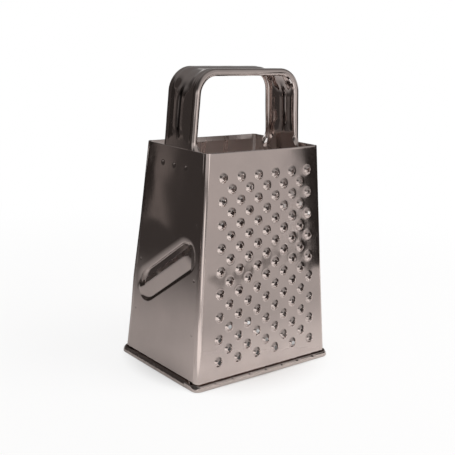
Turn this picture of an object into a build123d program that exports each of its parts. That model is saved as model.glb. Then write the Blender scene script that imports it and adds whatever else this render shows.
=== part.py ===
from build123d import *
import math
import os

# Box grater: four pressed steel walls lapped at the corners, a strap handle and a rolled base rim.
# The origin is the centre of the base. The front wall faces -Y, the slicing wall faces -X, up is +Z.

# Body
body_height = 142.0
base_width = 107.6
base_depth = 80.9
top_width = 89.0
top_depth = 63.4
corner_radius = 3.0
sheet = 0.5
hem_depth = 3.0

# Corner seams: the front and back walls wrap the corners and lap behind the side walls
seam_flange = 8.0
seam_joggle = 0.4
seam_gap = 0.1
seam_weld_count = 4
seam_weld_radius = 1.5
seam_weld_low = 33.0
seam_weld_high = 10.0
seam_weld_dent = 0.15

# Front wall: rough punched crowns in staggered rows
crown_rows = 17
crown_columns = 6
crown_top_margin = 14.8
crown_bottom_margin = 15.3
crown_side_margin_top = 11.7
crown_side_margin_bottom = 14.8
crown_shift = 0.9
crown_height = 1.8
crown_base_radius = 3.2
crown_rim_radius = 1.7
crown_mouth_radius = 1.2

# Left wall: a slicer dish pressed inwards, with one long slot and a blade that rises beside it
slicer_angle = 35.3
slicer_length = 70.3
slicer_width = 23.8
slicer_height = 65.8
slicer_shift = -1.35
slicer_sink = 1.0
slicer_draft = 1.0
slot_length = 54.5
slot_width = 3.6
slot_rise = 1.45
slot_advance = 1.6
blade_rise = 1.8
blade_run = 10.2
blade_length = 50.0
notch_gap = 0.3

# Back wall: coarse shredding hoods, right wall: fine shredding hoods
coarse_rows = 9
coarse_columns = 5
coarse_radius = 4.6
coarse_height = 2.4
fine_rows = 13
fine_columns = 6
fine_radius = 2.7
fine_height = 1.5
hood_top_margin = 22.0
hood_bottom_margin = 16.0
hood_edge_gap = 1.0
hood_mouth = 0.2

# Handle: one strap with rolled edges, bent over the top and welded inside the side walls
handle_rise = 47.5
handle_bend_radius = 16.0
strap_width = 30.0
strap_sheet = 0.8
roll_radius = 2.25
leg_lift = 2.5
foot_width = 40.0
foot_depth = 22.0
foot_flare = 10.0
foot_corner_radius = 4.0
rib_length = 25.0
rib_width = 9.5
rib_spacing = 11.2
rib_raise = 1.2
rib_draft = 1.0
handle_weld_count = 3
handle_weld_spacing = 12.0
handle_weld_radius = 2.2
handle_weld_drop = 11.0
handle_weld_dent = 0.35

# Base rim: one strip rolled around the lower edge, with its ends meeting on the left side
rim_sheet = 0.5
rim_height = 4.6
rim_reach = 2.1
rim_lip = 0.4
rim_fit = 0.05
rim_joint_offset = 10.0
rim_joint_gap = 0.4

width_lean = (base_width - top_width) / 2 / body_height
depth_lean = (base_depth - top_depth) / 2 / body_height
hem_base = body_height - hem_depth
flange_base = rim_height + seam_gap
flange_top = hem_base - seam_gap
leg_base = body_height + leg_lift
handle_top = body_height + handle_rise
foot_inset = 2 * sheet

OUTWARD = {"front": (0, -1), "back": (0, 1), "left": (-1, 0), "right": (1, 0)}
UPRIGHT = (Align.CENTER, Align.CENTER, Align.MIN)


def half_width(z):
    return base_width / 2 - width_lean * z


def half_depth(z):
    return base_depth / 2 - depth_lean * z


def wall_plane(wall, across, z, inset=0):
    """Plane on a wall's outer face: x to the right seen from outside, y up the wall, z outwards."""
    out_x, out_y = OUTWARD[wall]
    reach = (half_width(z) if out_x else half_depth(z)) - inset
    lean = width_lean if out_x else depth_lean
    origin = (out_x * reach - out_y * across, out_y * reach + out_x * across, z)
    return Plane(origin=origin, x_dir=(-out_y, out_x, 0), z_dir=(out_x, out_y, lean))


def tapered(section, z_low, z_high):
    """Solid between one section drawn at two heights, so it leans with the walls."""
    return loft([section(z_low), section(z_high)], ruled=True)


def slot_block(length, width, draft, low, high):
    """Raised stadium between two heights, narrower at the top by the draft."""
    foot = Pos(0, 0, low) * SlotOverall(length, width)
    crest = Pos(0, 0, high) * SlotOverall(length - 2 * draft, width - 2 * draft)
    return loft([foot, crest], ruled=True)


# Front and back walls

def wrap_section(z):
    """Front wall with its two corner bends, seen from above."""
    x = half_width(z)
    y = half_depth(z)
    bend_x = x - corner_radius
    bend_y = y - corner_radius
    inner = corner_radius - sheet
    edges = [
        CenterArc((-bend_x, -bend_y, z), corner_radius, 180, 90),
        Line((-bend_x, -y, z), (bend_x, -y, z)),
        CenterArc((bend_x, -bend_y, z), corner_radius, 270, 90),
        Line((x, -bend_y, z), (x - sheet, -bend_y, z)),
        CenterArc((bend_x, -bend_y, z), inner, 270, 90),
        Line((bend_x, sheet - y, z), (-bend_x, sheet - y, z)),
        CenterArc((-bend_x, -bend_y, z), inner, 180, 90),
        Line((sheet - x, -bend_y, z), (-x, -bend_y, z)),
    ]
    return make_face(edges)


def flange_section(z):
    """Lap flange beside the left bend, stepped inwards by the sheet so the side wall covers it."""
    x = half_width(z)
    y = corner_radius - half_depth(z)
    tip = y + seam_joggle + seam_flange
    outline = Polyline(
        (-x, y, z),
        (sheet - x, y + seam_joggle, z),
        (sheet - x, tip, z),
        (2 * sheet - x, tip, z),
        (2 * sheet - x, y + seam_joggle, z),
        (sheet - x, y, z),
        close=True,
    )
    return make_face(outline)


def wrap_hem_section(z):
    """Folded-in lip along the top of the front wall."""
    y = half_depth(z) - 1.5 * sheet
    return Pos(0, -y, z) * Rectangle(2 * (half_width(z) - corner_radius), sheet)


def seam_plane(wall, end, z):
    """Plane over the middle of a lap flange; end is -1 or 1, the wall's left or right edge."""
    edge = half_depth(z) - corner_radius - seam_joggle
    return wall_plane(wall, end * (edge - seam_flange / 2), z)


def seam_weld_heights():
    span = body_height - seam_weld_high - seam_weld_low
    return [seam_weld_low + span * i / (seam_weld_count - 1) for i in range(seam_weld_count)]


def weld_hole(radius, depth):
    return Pos(0, 0, -depth) * Cylinder(radius, depth, align=UPRIGHT)


def weld_nugget(radius, depth, dent):
    """Solid weld through lapped sheets, with the electrode's shallow dent on the outside."""
    ball_radius = (radius ** 2 + dent ** 2) / (2 * dent)
    return weld_hole(radius, depth) - Pos(0, 0, ball_radius - dent) * Sphere(ball_radius)


def seam_places(wall, end):
    return [seam_plane(wall, end, z) for z in seam_weld_heights()]


seam_depth = 2 * sheet * math.cos(math.atan(width_lean))
handle_weld_depth = seam_depth + strap_sheet


def slicer_centre():
    """Plane in the middle of the slicer, with x along its slot."""
    return wall_plane("left", slicer_shift, slicer_height) * Rot(0, 0, slicer_angle)


def slicer_notch():
    """Room that the lap flanges behind the left wall leave around the slicer dish."""
    outline = SlotOverall(slicer_length + 2 * notch_gap, slicer_width + 2 * notch_gap)
    return slicer_centre() * Pos(0, 0, -6 * sheet) * extrude(outline, amount=6 * sheet)


def wrap_wall():
    """Front wall blank: face, corner bends, top hem and lap flanges with their weld holes."""
    left_flange = tapered(flange_section, flange_base, flange_top)
    body = tapered(wrap_section, rim_sheet, body_height)
    body += tapered(wrap_hem_section, hem_base, body_height)
    body += [left_flange, mirror(left_flange, about=Plane.YZ)]
    hole = weld_hole(seam_weld_radius, seam_depth + sheet)
    places = seam_places("left", 1) + seam_places("right", -1)
    return body - [place * hole for place in places]


def crown_places():
    """Rows of six and five crowns in turn, spread a little wider towards the base."""
    low = crown_bottom_margin
    high = body_height - crown_top_margin
    places = []
    for row in range(crown_rows):
        share = row / (crown_rows - 1)
        z = high + (low - high) * share
        margin = crown_side_margin_top + (crown_side_margin_bottom - crown_side_margin_top) * share
        reach = half_width(z) - margin
        first = row % 2
        for half_step in range(first, 2 * crown_columns - 1 - first, 2):
            across = crown_shift + reach * (half_step / (crown_columns - 1) - 1)
            places.append(wall_plane("front", across, z))
    return places


def crown_outside():
    taper = (crown_base_radius - crown_rim_radius) / crown_height
    root = sheet / 2
    cone = Cone(crown_base_radius + taper * root, crown_rim_radius, crown_height + root, align=UPRIGHT)
    return Pos(0, 0, -root) * cone


def crown_inside():
    taper = (crown_base_radius - crown_mouth_radius) / (crown_height + sheet)
    wide = crown_base_radius + taper * sheet
    narrow = crown_mouth_radius - taper * sheet
    cone = Cone(wide, narrow, crown_height + 3 * sheet, align=UPRIGHT)
    return Pos(0, 0, -2 * sheet) * cone


def hood_places(wall, rows, columns, edge):
    """Staggered rows of hoods, one fewer in every second row, kept off the wall's edges."""
    low = hood_bottom_margin
    high = body_height - hood_top_margin
    places = []
    for row in range(rows):
        z = high + (low - high) * row / (rows - 1)
        reach = (half_width(z) if wall == "back" else half_depth(z)) - edge - hood_edge_gap
        first = row % 2
        for half_step in range(first, 2 * columns - 1 - first, 2):
            places.append(wall_plane(wall, reach * (half_step / (columns - 1) - 1), z))
    return places


def half_dome(radius, height, sink, mouth):
    """Lower half of a shallow dome that opens towards the top of the wall."""
    ball_radius = (radius ** 2 + height ** 2) / (2 * height)
    dome = Pos(0, 0, height - ball_radius - sink) * Sphere(ball_radius)
    keep = Pos(0, mouth - ball_radius, -2 * sheet) * Box(
        2 * ball_radius, 2 * ball_radius, height + 3 * sheet, align=UPRIGHT
    )
    return dome & keep


def hooded(wall_solid, places, radius, height):
    """Press hoods out of a wall: add the outer domes, then hollow them from behind."""
    outside = half_dome(radius, height, 0, 0) & Pos(0, 0, -sheet / 2) * Box(
        4 * radius, 4 * radius, height + sheet, align=UPRIGHT
    )
    inside = half_dome(radius, height, sheet, hood_mouth)
    raised = wall_solid + [place * outside for place in places]
    return raised - [place * inside for place in places]


def make_front_panel():
    places = crown_places()
    blank = wrap_wall() - slicer_notch()
    raised = blank + [place * crown_outside() for place in places]
    return raised - [place * crown_inside() for place in places]


def make_back_panel():
    blank = mirror(wrap_wall(), about=Plane.XZ) - slicer_notch()
    places = hood_places("back", coarse_rows, coarse_columns, corner_radius + coarse_radius)
    return hooded(blank, places, coarse_radius, coarse_height)


# Left and right walls

def side_half_depth(z):
    return half_depth(z) - corner_radius - seam_joggle - seam_gap


def side_section(z):
    return Pos(sheet / 2 - half_width(z), 0, z) * Rectangle(sheet, 2 * side_half_depth(z))


def side_hem_section(z):
    return Pos(1.5 * sheet - half_width(z), 0, z) * Rectangle(sheet, 2 * side_half_depth(z))


def handle_weld_places(wall):
    z = body_height - handle_weld_drop
    first = -handle_weld_spacing * (handle_weld_count - 1) / 2
    return [wall_plane(wall, first + handle_weld_spacing * i, z) for i in range(handle_weld_count)]


def side_wall():
    """Left wall blank: flat sheet with its folded-in top hem and all weld holes."""
    body = tapered(side_section, rim_sheet, body_height)
    body += tapered(side_hem_section, hem_base, body_height)
    seam_hole = weld_hole(seam_weld_radius, seam_depth + sheet)
    handle_hole = weld_hole(handle_weld_radius, handle_weld_depth)
    holes = [place * seam_hole for end in (-1, 1) for place in seam_places("left", end)]
    holes += [place * handle_hole for place in handle_weld_places("left")]
    return body - holes


def blade_ramp(length, top, bottom, overlap):
    """Ramp from the dish floor up to the blade edge; the overlap carries it on into the slot."""
    edge = slot_rise - slot_width / 2 + overlap
    toe = edge - overlap - blade_run
    rise = blade_rise * (edge - toe) / blade_run
    outline = Polyline((toe, top), (edge, top + rise), (edge, bottom), (toe, bottom), close=True)
    ramp = extrude(Plane.YZ * make_face(outline), amount=length / 2, both=True)
    return Pos(slot_advance, 0, 0) * ramp


def make_left_panel():
    """Slicing wall: a dished stadium with one long slot, whose lower side rises as the blade."""
    centre = slicer_centre()
    middle = Plane.XY.offset(-sheet / 2)
    pressed = slot_block(slicer_length, slicer_width, slicer_draft, -sheet / 2, slicer_sink)
    hollow = slot_block(slicer_length, slicer_width, slicer_draft, -sheet, slicer_sink - sheet)
    floor_top = -slicer_sink
    floor_bottom = -slicer_sink - sheet
    blade = blade_ramp(blade_length, floor_top, floor_top - sheet / 2, sheet)
    under = blade_ramp(blade_length - 2 * sheet, floor_bottom, floor_bottom - sheet, 2 * sheet)
    slot = Pos(slot_advance, slot_rise, floor_bottom - sheet) * extrude(
        SlotOverall(slot_length, slot_width), amount=slicer_sink + 3 * sheet + blade_rise
    )
    dished = side_wall() + centre * mirror(pressed, about=middle) - centre * mirror(hollow, about=middle)
    return dished + centre * blade - [centre * under, centre * slot]


def make_right_panel():
    """Shredding wall: its hoods stand clear of the lap flanges behind both edges."""
    blank = mirror(side_wall(), about=Plane.YZ)
    edge = corner_radius + seam_joggle + seam_flange + fine_radius
    places = hood_places("right", fine_rows, fine_columns, edge)
    return hooded(blank, places, fine_radius, fine_height)


# Handle

def strap_section():
    """Strap profile: flat middle, both edges rolled inwards by half a turn."""
    flat_half = strap_width / 2 - roll_radius
    profile = Pos(0, strap_sheet / 2) * Rectangle(2 * flat_half, strap_sheet)
    ring = Circle(roll_radius) - Circle(roll_radius - strap_sheet)
    for end in (-1, 1):
        outer_half = Pos(end * roll_radius, 0) * Rectangle(2 * roll_radius, 2 * roll_radius)
        profile += Pos(end * flat_half, roll_radius) * (ring & outer_half)
    return profile


def foot_plate():
    """Flat foot below the rolled edges: it widens inside the body and has rounded lower corners."""
    shoulder = -leg_lift
    flare_end = shoulder - foot_flare
    bottom = shoulder - foot_depth
    outline = Polyline(
        (-strap_width / 2, 0),
        (-strap_width / 2, shoulder),
        (-foot_width / 2, flare_end),
        (-foot_width / 2, bottom),
        (foot_width / 2, bottom),
        (foot_width / 2, flare_end),
        (strap_width / 2, shoulder),
        (strap_width / 2, 0),
        close=True,
    )
    plate = make_face(outline)
    lower = plate.vertices().sort_by(Axis.Y)[:2]
    plate = fillet(lower, radius=foot_corner_radius)
    return extrude(plate, amount=-strap_sheet)


def leg_plane(wall, across, z):
    return wall_plane(wall, across, z, inset=foot_inset)


def make_handle_strap():
    start = leg_plane("left", 0, leg_base).origin
    corner_x = half_width(handle_top) - foot_inset
    path = FilletPolyline(
        (start.X, 0, leg_base),
        (-corner_x, 0, handle_top),
        (corner_x, 0, handle_top),
        (-start.X, 0, leg_base),
        radius=handle_bend_radius,
    )
    profile_plane = Plane(origin=start, x_dir=(0, -1, 0), z_dir=(width_lean, 0, 1))
    strap = sweep(profile_plane * strap_section(), path=path)
    for wall in ("left", "right"):
        strap += leg_plane(wall, 0, leg_base) * foot_plate()
    rib_height = leg_base + (handle_top - handle_bend_radius - leg_base) / 2
    raised = Rot(0, 0, 90) * slot_block(rib_length, rib_width, rib_draft, -strap_sheet / 2, rib_raise)
    hollow = Rot(0, 0, 90) * slot_block(
        rib_length, rib_width, rib_draft, -strap_sheet, rib_raise - strap_sheet
    )
    rib_places = [
        leg_plane(wall, end * rib_spacing / 2, rib_height)
        for wall in ("left", "right")
        for end in (-1, 1)
    ]
    strap += [place * raised for place in rib_places]
    strap -= [place * hollow for place in rib_places]
    hole = weld_hole(handle_weld_radius, handle_weld_depth + strap_sheet)
    places = handle_weld_places("left") + handle_weld_places("right")
    return strap - [place * hole for place in places]


# Base rim

def rim_section():
    """Strip profile around the lower edge: inner leg, web under the walls and flattened outer roll."""
    lean = math.hypot(width_lean, depth_lean) * rim_height
    inner_face = -(sheet + lean + rim_fit)
    bead_x = rim_fit + rim_lip
    bead_width = rim_reach - bead_x
    bead_half = rim_height / 2
    leg = Pos(inner_face - rim_sheet / 2, rim_height / 2) * Rectangle(rim_sheet, rim_height)
    web_width = bead_x - inner_face
    web = Pos(inner_face + web_width / 2, rim_sheet / 2) * Rectangle(web_width, rim_sheet)
    lip = Pos(rim_fit + rim_lip / 2, rim_height - rim_sheet / 2) * Rectangle(rim_lip, rim_sheet)
    ring = Ellipse(bead_width, bead_half) - Ellipse(bead_width - rim_sheet, bead_half - rim_sheet)
    outer_half = Pos(bead_width, 0) * Rectangle(2 * bead_width, 2 * bead_half)
    bead = Pos(bead_x, bead_half) * (ring & outer_half)
    return leg + web + lip + bead


def make_base_rim():
    path = RectangleRounded(base_width, base_depth, corner_radius).wire()
    start = path.position_at(0)
    direction = path.tangent_at(0)
    outward = direction.cross(Vector(0, 0, 1))
    profile_plane = Plane(origin=start, x_dir=outward, z_dir=outward.cross(Vector(0, 0, 1)))
    rim = sweep(profile_plane * rim_section(), path=path)
    joint_y = rim_joint_offset - base_depth / 2
    reach = rim_reach + 3 * sheet
    joint = Pos(-base_width / 2, joint_y, 0) * Box(2 * reach, rim_joint_gap, 3 * rim_height)
    return rim - joint


def handle_welds(wall):
    nugget = weld_nugget(handle_weld_radius, handle_weld_depth, handle_weld_dent)
    return Compound(children=[place * nugget for place in handle_weld_places(wall)])


def seam_welds(wall, end):
    nugget = weld_nugget(seam_weld_radius, seam_depth, seam_weld_dent)
    return Compound(children=[place * nugget for place in seam_places(wall, end)])


nodes = {
    "front_panel": make_front_panel(),
    "back_panel": make_back_panel(),
    "left_panel": make_left_panel(),
    "right_panel": make_right_panel(),
    "handle_strap": make_handle_strap(),
    "base_rim": make_base_rim(),
    "left_handle_welds": handle_welds("left"),
    "right_handle_welds": handle_welds("right"),
    "front_left_seam_welds": seam_welds("left", 1),
    "front_right_seam_welds": seam_welds("right", -1),
    "back_left_seam_welds": seam_welds("left", -1),
    "back_right_seam_welds": seam_welds("right", 1),
}

os.makedirs("parts", exist_ok=True)
for name, shape in nodes.items():
    export_step(shape, f"parts/{name}.step")
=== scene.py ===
# %% [markdown]
# # A stainless steel box grater
# A box grater is four pieces of thin polished steel, pressed with cutting shapes, lapped and welded
# at the corners, with a strap for a handle and a strip rolled round the lower edge. In Blender each
# piece is drawn as the surface of one sheet and then given the sheet's real thickness, because that
# is how the real thing is made, and because thin edges and folds are what the eye reads as metal.
# The frame comes first: it holds the measured model, and every piece has to fit it.

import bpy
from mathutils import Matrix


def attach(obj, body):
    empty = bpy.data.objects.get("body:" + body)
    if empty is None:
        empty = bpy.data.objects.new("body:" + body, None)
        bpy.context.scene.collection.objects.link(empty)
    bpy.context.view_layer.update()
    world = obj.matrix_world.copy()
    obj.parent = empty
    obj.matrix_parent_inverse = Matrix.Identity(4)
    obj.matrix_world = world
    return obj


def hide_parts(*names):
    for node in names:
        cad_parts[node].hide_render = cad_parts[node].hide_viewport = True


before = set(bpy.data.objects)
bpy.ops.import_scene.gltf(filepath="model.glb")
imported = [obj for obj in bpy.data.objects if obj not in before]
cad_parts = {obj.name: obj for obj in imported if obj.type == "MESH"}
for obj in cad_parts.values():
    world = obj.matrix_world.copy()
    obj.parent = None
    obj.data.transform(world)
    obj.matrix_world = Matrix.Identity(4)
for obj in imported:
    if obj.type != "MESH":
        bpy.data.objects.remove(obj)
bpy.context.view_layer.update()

# %% Bring in the tools
import math
import random

import bmesh
import bpy
from mathutils import Matrix, Vector
from mathutils.geometry import delaunay_2d_cdt

MM = 0.001
CORNERS = (-1, 1)

# %% [markdown]
# ## The tapered body
# Each wall leans inwards, so nearly every place on the grater is found from its height: how far the
# walls stand from the middle there, and how far across a wall the point lies. Four small functions
# hold this, and all later pieces are drawn through them. Sizes are written in millimetres, as a
# metal worker would write them, and turned into metres when a mesh is made.

# %% Sizes of the body
body_height = 142.0
base_width = 107.6
base_depth = 80.9
top_width = 89.0
top_depth = 63.4
corner_radius = 3.0
sheet = 0.5
width_lean = (base_width - top_width) / 2 / body_height
depth_lean = (base_depth - top_depth) / 2 / body_height
OUTWARD = {"front": (0, -1), "back": (0, 1), "left": (-1, 0), "right": (1, 0)}


def half_width(z):
    return base_width / 2 - width_lean * z


def half_depth(z):
    return base_depth / 2 - depth_lean * z


def on_wall(wall, across, z, height=0.0):
    """Place on a wall: across to the right seen from outside, z up, height out of the sheet."""
    out_x, out_y = OUTWARD[wall]
    lean = width_lean if out_x else depth_lean
    reach = (half_width(z) if out_x else half_depth(z)) + height
    x = out_x * reach - out_y * across
    y = out_y * reach + out_x * across
    return Vector((x, y, z + height * lean))


def wall_half(wall, z):
    """Half the wall's own width at a height."""
    return half_depth(z) if OUTWARD[wall][0] else half_width(z)


print("front wall, half width:", [wall_half("front", z) for z in (0, body_height)])

# %% [markdown]
# ## From points to a piece of sheet
# A pressed sheet is flat nearly everywhere and finely shaped in small places. A grid fine enough
# for the small places would be wasteful, so the flat part is filled by a triangulation that takes
# any set of points: few on the flat, many round each pressing. The thickness comes last, from
# Blender's Solidify, and edges sharper than a set angle are marked, so that flat metal stays flat
# in shading.

# %% Steps, blends and turns
def clamp(x):
    return min(max(x, 0.0), 1.0)


def smooth_step(x):
    x = clamp(x)
    return x * x * (3 - 2 * x)


def ramp(x, start, reach):
    """0 up to start, 1 from start + reach on, and smooth between."""
    return smooth_step((x - start) / reach)


def blend_values(a, b, share):
    return a + (b - a) * share


def arc(steps, start, span):
    """Angles from start over a span, with both ends."""
    return [start + span * i / steps for i in range(steps + 1)]


def full_turn(count):
    return arc(count, 0.0, 2 * math.pi)[:-1]


def around(u, z, radius, angle):
    return u + radius * math.cos(angle), z + radius * math.sin(angle)


print("half way up a smooth step", smooth_step(0.5))

# %% Helpers that turn points into pieces
def grid_faces(rows, columns, first=0):
    """Quads over points that are numbered row by row."""
    return [
        (first + r * columns + c, first + r * columns + c + 1,
         first + (r + 1) * columns + c + 1, first + (r + 1) * columns + c)
        for r in range(rows - 1)
        for c in range(columns - 1)
    ]


def flipped(faces):
    return [face[::-1] for face in faces]


def put_in_scene(name, data):
    thing = bpy.data.objects.new(name, data)
    bpy.context.scene.collection.objects.link(thing)
    return thing


def shade(mesh, sharp_angle):
    mesh.shade_smooth()
    mesh.set_sharp_from_angle(angle=math.radians(sharp_angle))


same_place = 0.004
sheet_sharp_angle = 35.0
strap_sharp_angle = 40.0
rolled_sharp_angle = 50.0


def sheet_mesh(name, points, faces, thickness, sharp_angle=sheet_sharp_angle):
    """Piece of sheet whose outer face is given in millimetres, thickened inwards."""
    bm = bmesh.new()
    verts = [bm.verts.new(Vector(p) * MM) for p in points]
    for face in faces:
        if len(set(face)) > 2:
            try:
                bm.faces.new([verts[i] for i in face])
            except ValueError:
                continue
    bmesh.ops.remove_doubles(bm, verts=bm.verts, dist=same_place * MM)
    loose = [v for v in bm.verts if not v.link_faces]
    bmesh.ops.delete(bm, geom=loose, context="VERTS")
    mesh = bpy.data.meshes.new(name)
    bm.to_mesh(mesh)
    bm.free()
    piece = put_in_scene(name, mesh)
    solid = piece.modifiers.new("sheet thickness", "SOLIDIFY")
    solid.thickness = thickness * MM
    solid.offset = -1.0
    view = bpy.context.evaluated_depsgraph_get()
    made = bpy.data.meshes.new_from_object(piece.evaluated_get(view))
    piece.modifiers.clear()
    piece.data = made
    bpy.data.meshes.remove(mesh)
    made.name = name
    shade(made, sharp_angle)
    print(name, len(made.vertices), "points", len(made.polygons), "faces")
    return piece


# %% The flat part of a wall
wave_height = 0.1
wave_length = 11.0
wave_edge = 14.0
wave_squeeze = 0.8
wave_starts = (0.7, 1.9)
edge_hold = 0.9
border_gap = 0.6
thin_face = 1e-4


def everywhere(u, z):
    return True


class FlatSheet:
    """Points on the flat part of one wall, each with its height, and the holes cut in it."""

    def __init__(self, wall, half, levels, step):
        self.wall = wall
        self.points = []
        self.heights = []
        self.loops = []
        self.holes = []
        self.kept_clear = []
        self.calm = []
        self.half = half
        self.levels = levels
        self.step = step

    def add(self, across, z, height=0.0):
        self.points.append(Vector((across, z)))
        self.heights.append(height)
        return len(self.points) - 1

    def add_ring(self, u, z, radius, count):
        for angle in full_turn(count):
            self.add(*around(u, z, radius, angle))

    def add_loop(self, places, hole=None):
        """Closed loop of edges; hole tells whether a place lies inside it."""
        loop = [self.add(*place) for place in places]
        self.loops.append(loop)
        if hole:
            self.holes.append((set(loop), hole))

    def keep_clear(self, u, z, radius):
        """Keep the plain grid out of a circle."""
        self.kept_clear.append(lambda x, y: (x - u) ** 2 + (y - z) ** 2 < radius ** 2)

    def top_places(self):
        z = self.levels[-1]
        count = 2 * round(self.half(z) / self.step) + 1
        return [blend_values(-self.half(z), self.half(z), i / (count - 1)) for i in range(count)]

    def add_border(self):
        """The outline, and points just inside it that hold the shading flat up to the edge."""
        low = self.levels[0]
        high = self.levels[-1]
        left = [(-self.half(z), z) for z in self.levels]
        right = [(self.half(z), z) for z in reversed(self.levels)]
        top = [(u, high) for u in self.top_places()[1:-1]]
        count = len(top)
        bottom = [
            (blend_values(self.half(low), -self.half(low), (i + 1) / (count + 1)), low)
            for i in range(count)
        ]
        self.add_loop(left + top + right + bottom)
        for z in self.levels[1:-1]:
            for side in CORNERS:
                self.add(side * (self.half(z) - edge_hold), z)
        for u in self.top_places()[1:-1]:
            self.add(u, high - edge_hold)

    def fill(self):
        """Add the border and a staggered grid between the pressings, and triangulate."""
        self.add_border()
        low = self.levels[0]
        high = self.levels[-1]
        rows = round((high - low) / self.step)
        for row in range(1, rows):
            z = blend_values(low, high, row / rows)
            reach = self.half(z) - self.step * border_gap
            columns = round(2 * reach / self.step)
            for column in range(columns + 1):
                u = blend_values(-reach, reach, (column + 0.5 * (row % 2)) / columns)
                if u <= reach and not any(inside(u, z) for inside in self.kept_clear):
                    self.add(u, z)
        edges = [(a, b) for loop in self.loops for a, b in zip(loop, loop[1:] + loop[:1])]
        _, _, faces, origins, _, _ = delaunay_2d_cdt(self.points, edges, [], 0, 1e-4)
        names = [o[0] for o in origins]
        return [f for f in (tuple(names[i] for i in face) for face in faces) if self.keeps(f)]

    def keeps(self, face):
        a, b, c = (self.points[i] for i in face)
        if abs((b - a).cross(c - a)) < thin_face:
            return False
        middle = (a + b + c) / 3
        return not any(set(face) <= loop and inside(middle.x, middle.y)
                       for loop, inside in self.holes)

    def wave(self, across, z):
        """The faint waves that pressing leaves in thin sheet, calm at the edges and the welds."""
        edge = min(self.half(z) - abs(across), z - self.levels[0], self.levels[-1] - z)
        for u, v, reach in self.calm:
            edge = min(edge, math.hypot(across - u, z - v) - reach)
        roll = math.sin(across / wave_length + wave_starts[0])
        roll *= math.sin(z / wave_length * wave_squeeze + wave_starts[1])
        return wave_height * roll * smooth_step(edge / wave_edge)

    def place(self, across, z, height):
        return on_wall(self.wall, across, z, height + self.wave(across, z))

    def places(self):
        return [self.place(p.x, p.y, h) for p, h in zip(self.points, self.heights)]


print("waves", wave_height, "mm high, every", wave_length, "mm")

# %% [markdown]
# ## Folds that every wall has
# The raw upper edge of each wall is folded in and flattened, so that it can't cut the hand. The
# fold is a few rows of points that go over the top and a little way down inside. The front and back
# walls also bend round the corners and run on, one sheet deeper, behind the side walls: the lap
# that the corner welds go through.

# %% Hem
hem_depth = 3.0
lip_stand_off = 0.7
fold_radius = sheet
fold_steps = 5


def hem_rows(stand_off):
    """Heights and depths of the fold over the top edge, from the outer face to the inner lip."""
    turn = [(fold_radius * math.sin(t), -fold_radius + fold_radius * math.cos(t))
            for t in arc(fold_steps, 0.0, math.pi)]
    return turn + [(fold_radius - hem_depth, -2 * fold_radius - stand_off)]


def add_hem(points, faces, wall, places):
    out_x, out_y = OUTWARD[wall]
    rows = hem_rows(0.0 if out_x else lip_stand_off)
    first = len(points)
    for rise, depth in rows:
        shift = Vector((out_x * depth, out_y * depth, rise))
        points.extend(on_wall(wall, u, body_height - fold_radius) + shift for u in places)
    faces.extend(grid_faces(len(rows), len(places), first))


print("hem of", len(hem_rows(0.0)), "rows,", hem_depth, "mm deep")

# %% Levels shared by a wall and its bends
seam_joggle = 0.4
seam_gap = 0.1
seam_flange = 8.0
side_play = 0.1
rim_height = 4.6
level_count = 34
wall_foot = 0.5
grid_step = 4.0
flange_low = rim_height + seam_gap
flange_high = body_height - hem_depth - seam_gap
levels = [blend_values(wall_foot, body_height - fold_radius, i / level_count)
          for i in range(level_count + 1)]
levels = sorted(levels + [flange_low, flange_high])


def wrap_half(z):
    return half_width(z) - corner_radius


def side_half(z):
    return half_depth(z) - corner_radius - seam_joggle - seam_gap - side_play


print("levels", len(levels), "side wall half width at base", side_half(wall_foot))

# %% Corner bends and laps
bend_steps = 8


def add_corners(points, faces, wall):
    """Corner bends and lap flanges of the front or back wall."""
    facing = OUTWARD[wall][1]
    for side in CORNERS:
        rows = []
        for z in levels + [body_height]:
            x = half_width(z)
            y = half_depth(z)
            centre = Vector((side * (x - corner_radius), facing * (y - corner_radius), z))
            row = [centre + corner_radius * Vector((side * math.sin(t), facing * math.cos(t), 0))
                   for t in arc(bend_steps, 0.0, 0.5 * math.pi)]
            if flange_low <= z <= flange_high:
                start = facing * (y - corner_radius - seam_joggle)
                row.append(Vector((side * (x - sheet), start, z)))
                row.append(Vector((side * (x - sheet), start - facing * seam_flange, z)))
            rows.append(row)
        for lower, upper in zip(rows, rows[1:]):
            wide = min(len(lower), len(upper))
            strip = grid_faces(2, wide, len(points))
            points.extend(lower[:wide] + upper[:wide])
            faces.extend(strip if side * facing < 0 else flipped(strip))


print("lap flange from", round(flange_low, 1), "to", round(flange_high, 1), "mm")

# %% A whole wall
wall_gauge = 0.45


def whole_wall(flat, add_sides):
    """Points and faces of a wall: its flat part, its top hem, and its upright sides."""
    faces = flat.fill()
    points = flat.places()
    add_hem(points, faces, flat.wall, flat.top_places())
    add_sides(points, faces, flat.wall)
    return points, faces


print("walls are drawn", wall_gauge, "mm thick")

# %% [markdown]
# ## Punched crowns
# The front wall is the rough side. A four-sided punch is driven through from behind: the sheet
# rises in a small cone and tears into four ragged points round the mouth. Each crown is rings of
# points that climb to the mouth, and the last ring is cut into four by a cosine. The sheet also
# lifts a little before the cone starts, and that soft skirt is what catches light round each crown.
# A seeded random turn and lean keeps the crowns from looking stamped by a computer.

# %% Crown places
crown_rows = 17
crown_columns = 6
crown_top_margin = 14.8
crown_bottom_margin = 15.3
crown_side_margin_top = 11.7
crown_side_margin_bottom = 14.8
crown_shift = 0.9


def staggered(reach, columns, row):
    """Places across one row, with every second row half a step in."""
    first = row % 2
    return [reach * (half_step / (columns - 1) - 1)
            for half_step in range(first, 2 * columns - 1 - first, 2)]


def crown_places():
    """Rows of six and five crowns in turn, spread a little wider towards the base."""
    for row in range(crown_rows):
        share = row / (crown_rows - 1)
        z = blend_values(body_height - crown_top_margin, crown_bottom_margin, share)
        margin = blend_values(crown_side_margin_top, crown_side_margin_bottom, share)
        for u in staggered(half_width(z) - margin, crown_columns, row):
            yield crown_shift + u, z


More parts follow.
